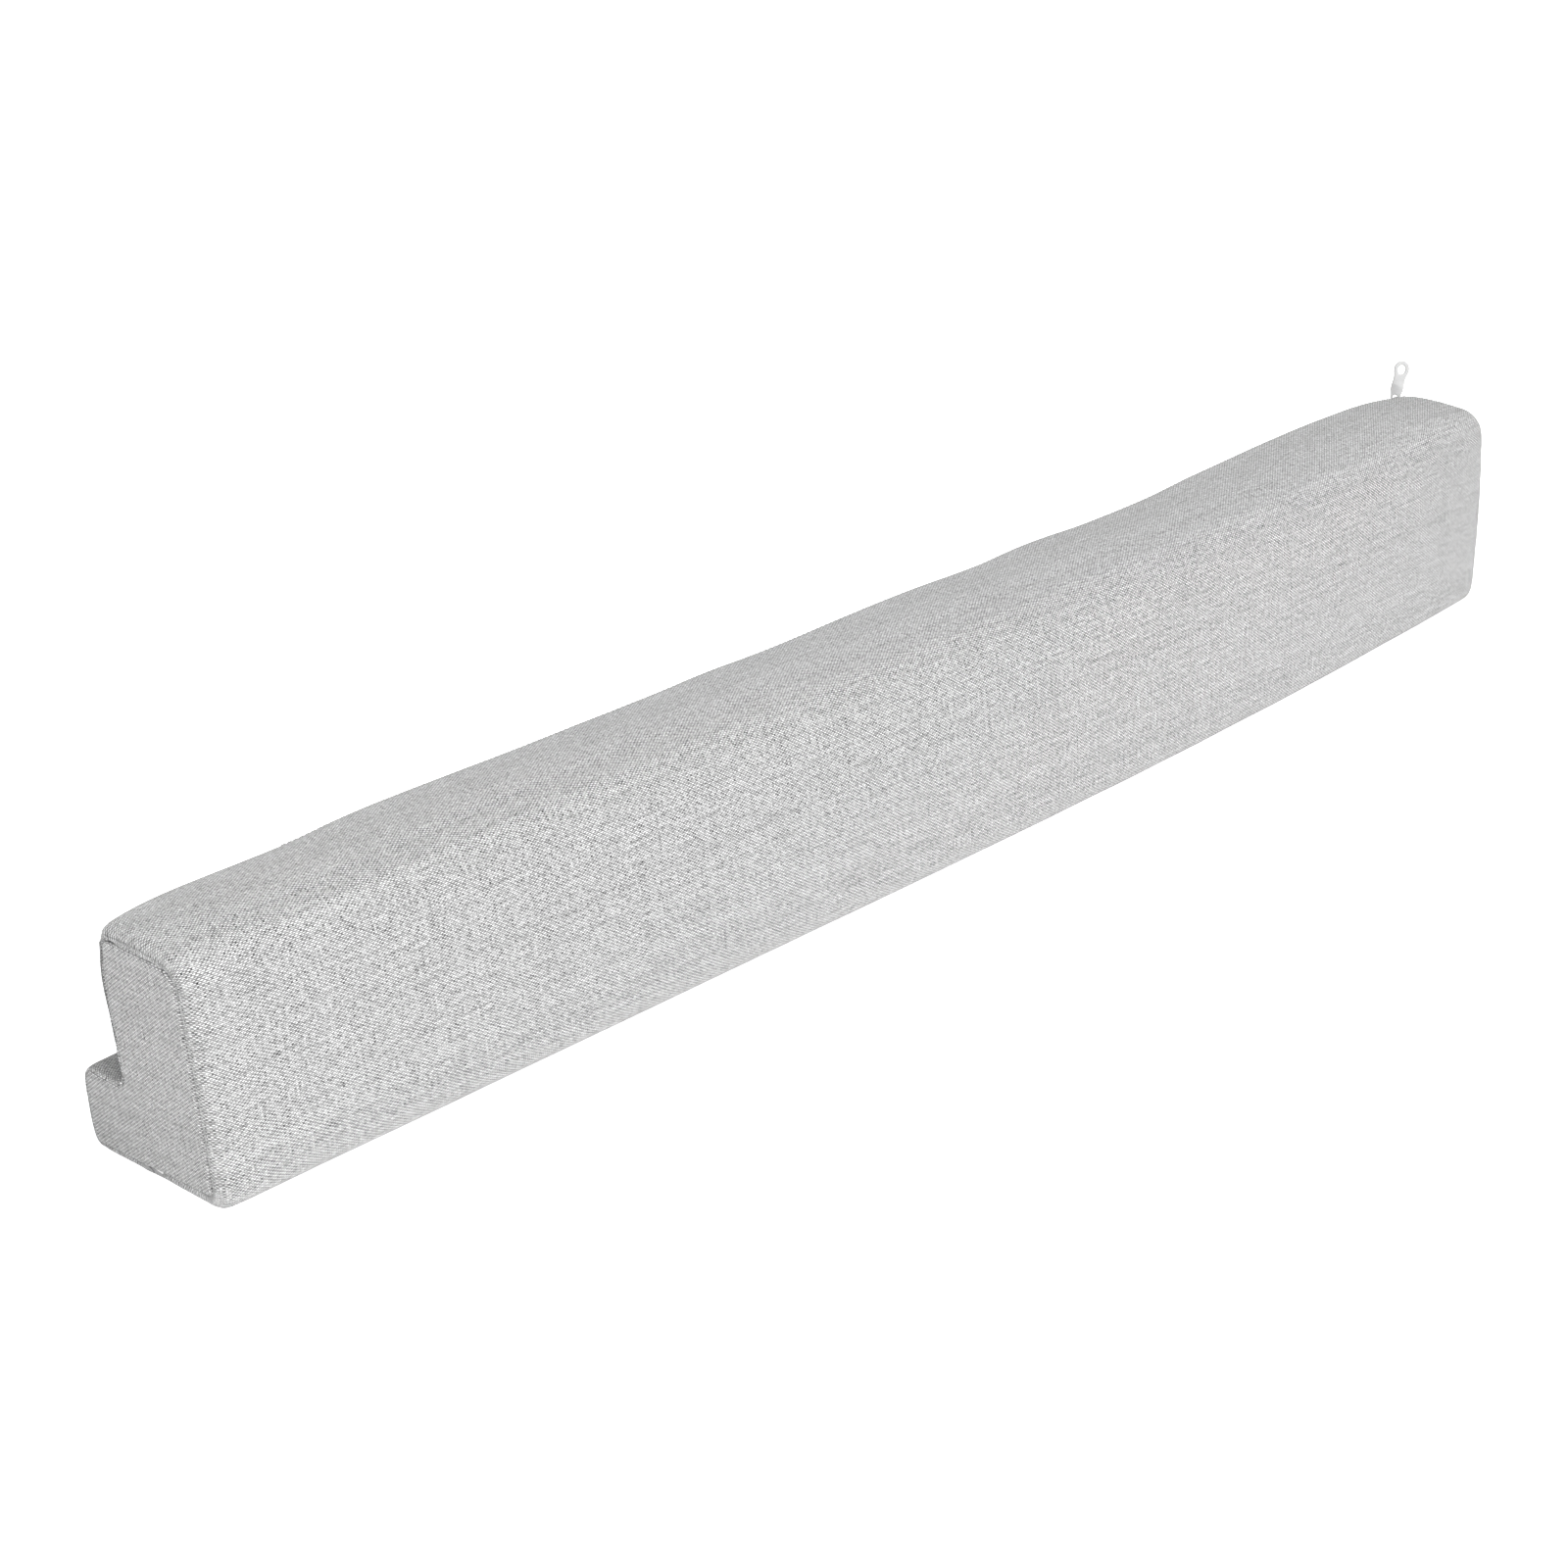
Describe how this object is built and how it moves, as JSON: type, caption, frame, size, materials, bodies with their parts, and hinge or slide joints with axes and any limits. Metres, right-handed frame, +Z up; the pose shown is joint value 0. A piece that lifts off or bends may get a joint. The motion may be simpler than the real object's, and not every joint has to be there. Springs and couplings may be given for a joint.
{
  "type": "bed gap filler",
  "caption": "Long L-section foam bar in a woven grey cloth cover with a zip along its top back edge, laid beside a mattress to close a gap.",
  "frame": {"origin": "middle of the part's box, on the surface that it rests on", "axes": "+X along the bar towards the zip's slider, +Y from the plain front face towards the foot, +Z up"},
  "size_m": [1.102, 0.1368, 0.168],
  "materials": {
    "cover_cloth": "matte light grey faux-linen weave with darker and lighter slub yarns",
    "zip_tape": "matte grey woven zip tape with a nylon coil",
    "zip_white": "white, satin"
  },
  "bodies": {
    "root": {"cushion": "cover_cloth", "end_panel_near": "cover_cloth", "end_panel_far": "cover_cloth", "zip_chain": "zip_tape", "zip_slider": "zip_white", "zip_pull": "zip_white"}
  },
  "joints": []
}
